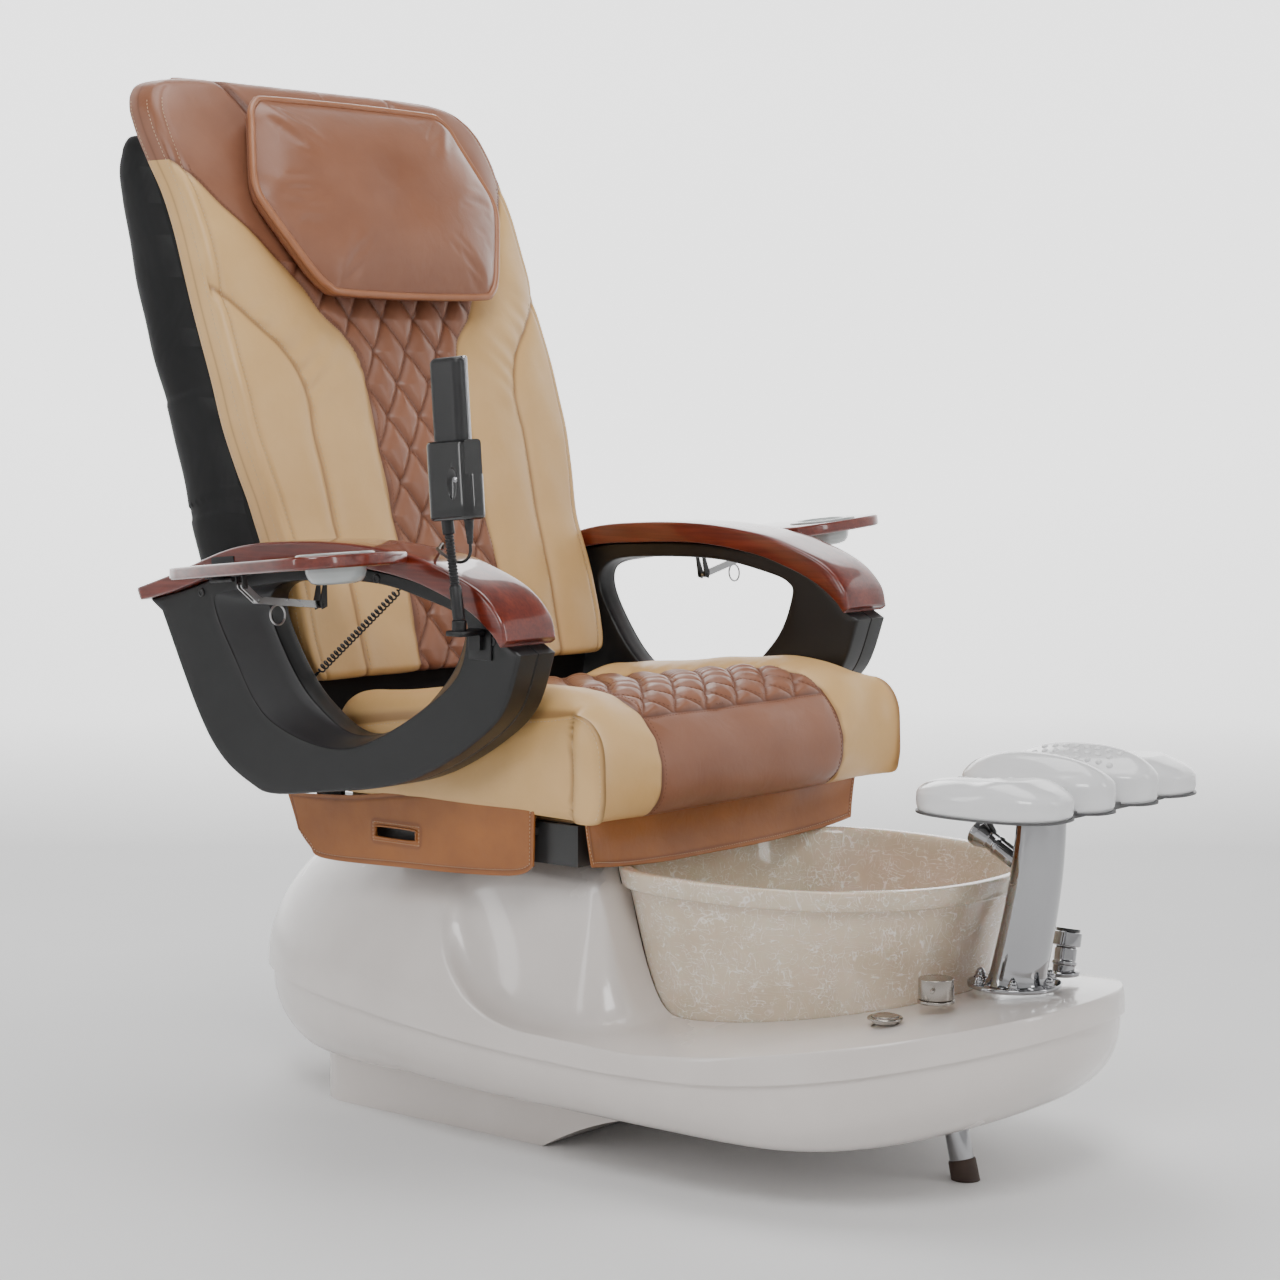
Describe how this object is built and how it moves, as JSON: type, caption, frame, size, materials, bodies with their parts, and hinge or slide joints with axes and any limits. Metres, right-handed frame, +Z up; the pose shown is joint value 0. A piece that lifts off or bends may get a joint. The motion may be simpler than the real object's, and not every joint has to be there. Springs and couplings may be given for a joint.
{
  "type": "pedicure spa chair",
  "caption": "Pedicure chair: sliding, reclining massage seat with lifting arms and folding trays on a moulded base with foot basin, footrest, taps and spray.",
  "frame": {"origin": "on the floor, in the plane of symmetry, near the middle of the length", "axes": "+X to the sitter's left, -Y to the front, +Z up"},
  "size_m": [1.1956, 1.501, 1.416],
  "materials": {
    "shell_white": "gloss pearl",
    "resin": "translucent pearl resin",
    "chrome": "polished",
    "white_plastic": "gloss",
    "dark_plastic": "satin",
    "rubber": "matt",
    "steel_paint": "satin",
    "steel": "brushed",
    "brass": "plain",
    "black_moulding": "fine grained",
    "gloss_black": "gloss",
    "cord_black": "satin",
    "tan_leather": "soft grain",
    "brown_leather": "soft grain",
    "cream_leather": "soft grain",
    "black_fabric": "coated",
    "plywood": "raw",
    "cherry_wood": "lacquered",
    "roller_plastic": "gloss"
  },
  "bodies": {
    "base": {"base_hull": "shell_white", "base_shell": "shell_white", "basin": "resin", "basin_drain": "chrome", "jet_cover": "white_plastic", "jet_motor": "dark_plastic", "footrest_column": "chrome", "footrest_plate": "dark_plastic", "footrest_pads": "white_plastic", "foot_tube": "chrome", "foot_tip": "rubber", "faucet_body": "chrome", "mixer_base": "chrome", "button_collar": "chrome", "slide_channels": "steel", "water_pipes": "brass"},
    "jet_impeller": {"jet_impeller": "dark_plastic"},
    "faucet_handle": {"faucet_handle": "chrome"},
    "mixer_knob": {"mixer_knob": "chrome"},
    "jet_button": {"jet_button": "white_plastic"},
    "spray_head": {"spray_head": "chrome"},
    "carriage": {"slide_runners": "steel", "carriage_frame": "steel_paint", "pivot_shaft": "chrome", "seat_box": "black_moulding", "seat_apron": "tan_leather", "skirt_left": "tan_leather", "skirt_right": "tan_leather", "seat_pan": "plywood", "seat_cushion": "cream_leather"},
    "actuator_tube": {"actuator_tube": "steel_paint"},
    "actuator_rod": {"actuator_rod": "chrome"},
    "back": {"back_frame": "steel_paint", "back_cover": "black_fabric", "back_cushion": "cream_leather"},
    "pillow": {"pillow": "brown_leather"},
    "roller_carriage": {"roller_carriage": "steel_paint"},
    "roller_heads": {"roller_heads": "roller_plastic"},
    "arm_left": {"arm_inner_left": "black_moulding", "arm_outer_left": "black_moulding", "arm_top_left": "cherry_wood", "tray_hinge_left": "steel"},
    "arm_right": {"arm_inner_right": "black_moulding", "arm_outer_right": "black_moulding", "arm_top_right": "cherry_wood", "tray_hinge_right": "steel", "remote_clamp": "black_moulding", "gooseneck": "black_moulding", "remote_holder": "gloss_black", "remote_lead": "cord_black", "remote_curl": "cord_black"},
    "tray_left": {"tray_left": "cherry_wood", "cup_holder_left": "white_plastic"},
    "tray_right": {"tray_right": "cherry_wood", "cup_holder_right": "white_plastic"},
    "stay_lower_left": {"stay_lower_left": "chrome"},
    "stay_lower_right": {"stay_lower_right": "chrome"},
    "stay_upper_left": {"stay_upper_left": "chrome"},
    "stay_upper_right": {"stay_upper_right": "chrome"},
    "remote_handset": {"remote_handset": "gloss_black"}
  },
  "joints": [
    {"name": "seat_slide", "type": "slide", "parent": "base", "child": "carriage", "axis": [0, -1, 0], "range_m": [0, 0.13]},
    {"name": "back_recline", "type": "hinge", "parent": "carriage", "child": "back", "pos_m": [0, 0.33, 0.49], "axis": [-1, 0, 0], "range_deg": [0, 35]},
    {"name": "actuator_swing", "type": "hinge", "parent": "carriage", "child": "actuator_tube", "pos_m": [0, -0.04, 0.397], "axis": [1, 0, 0], "range_deg": [-0.2, 0.457]},
    {"name": "actuator_stroke", "type": "slide", "parent": "actuator_tube", "child": "actuator_rod", "axis": [0, 0.9995, 0.0303], "range_m": [-0.0521, 0.001]},
    {"name": "pillow_flip", "type": "hinge", "parent": "back", "child": "pillow", "pos_m": [0, 0.57681, 1.38394], "axis": [-1, 0, 0], "range_deg": [0, 100]},
    {"name": "roller_travel", "type": "slide", "parent": "back", "child": "roller_carriage", "axis": [0, 0.2713, 0.9625], "range_m": [0, 0.4]},
    {"name": "roller_knead", "type": "hinge", "parent": "roller_carriage", "child": "roller_heads", "pos_m": [0, 0.49467, 0.70495], "axis": [1, 0, 0], "continuous": true},
    {"name": "jet_spin", "type": "hinge", "parent": "base", "child": "jet_impeller", "pos_m": [0, -0.103, 0.215], "axis": [0, 0.9869, -0.1616], "continuous": true},
    {"name": "faucet_turn", "type": "hinge", "parent": "base", "child": "faucet_handle", "pos_m": [0.113, -0.58, 0.25], "axis": [0.2079, 0, 0.9781], "range_deg": [0, 90]},
    {"name": "mixer_turn", "type": "hinge", "parent": "base", "child": "mixer_knob", "pos_m": [-0.127, -0.55, 0.25], "axis": [0, 0, 1], "range_deg": [-60, 60]},
    {"name": "button_press", "type": "slide", "parent": "base", "child": "jet_button", "axis": [0, 0, -1], "range_m": [0, 0.003], "stiffness_N_per_m": 400, "springref_m": -0.001},
    {"name": "spray_pull", "type": "slide", "parent": "base", "child": "spray_head", "axis": [0, 0.866, 0.5], "range_m": [0, 0.1]},
    {"name": "arm_lift_left", "type": "hinge", "parent": "carriage", "child": "arm_left", "pos_m": [0.34, 0.33, 0.49], "axis": [-1, 0, 0], "range_deg": [0, 32]},
    {"name": "tray_fold_left", "type": "hinge", "parent": "arm_left", "child": "tray_left", "pos_m": [0.4085, 0.052, 0.7625], "axis": [0, 0.996, -0.0898], "range_deg": [0, 91]},
    {"name": "stay_lower_left", "type": "hinge", "parent": "arm_left", "child": "stay_lower_left", "pos_m": [0.3965, 0.21971, 0.70722], "axis": [0, 0.996, -0.0898], "range_deg": [0, 101.62]},
    {"name": "stay_upper_left", "type": "hinge", "parent": "tray_left", "child": "stay_upper_left", "pos_m": [0.52884, 0.22325, 0.74646], "axis": [0, -0.996, 0.0898], "range_deg": [0, 135.68]},
    {"name": "arm_lift_right", "type": "hinge", "parent": "carriage", "child": "arm_right", "pos_m": [-0.34, 0.33, 0.49], "axis": [-1, 0, 0], "range_deg": [0, 32]},
    {"name": "tray_fold_right", "type": "hinge", "parent": "arm_right", "child": "tray_right", "pos_m": [-0.4085, 0.052, 0.7625], "axis": [0, -0.996, 0.0898], "range_deg": [0, 87]},
    {"name": "stay_lower_right", "type": "hinge", "parent": "arm_right", "child": "stay_lower_right", "pos_m": [-0.3965, 0.21971, 0.70722], "axis": [0, -0.996, 0.0898], "range_deg": [0, 95.55]},
    {"name": "stay_upper_right", "type": "hinge", "parent": "tray_right", "child": "stay_upper_right", "pos_m": [-0.5285, 0.2225, 0.7381], "axis": [0, 0.996, -0.0898], "range_deg": [0, 124.49]},
    {"name": "handset_lift", "type": "slide", "parent": "arm_right", "child": "remote_handset", "axis": [0, 0.0698, 0.9976], "range_m": [0, 0.12]}
  ],
  "couplings": [
    {"joint": "actuator_swing", "follows": "back_recline", "ratio": 0.007357},
    {"joint": "actuator_stroke", "follows": "back_recline", "m_per_rad": -0.083572},
    {"joint": "stay_lower_left", "follows": "tray_fold_left", "ratio": 1.1112},
    {"joint": "stay_upper_left", "follows": "tray_fold_left", "ratio": 1.4855},
    {"joint": "stay_lower_right", "follows": "tray_fold_right", "ratio": 1.0926},
    {"joint": "stay_upper_right", "follows": "tray_fold_right", "ratio": 1.4252}
  ]
}
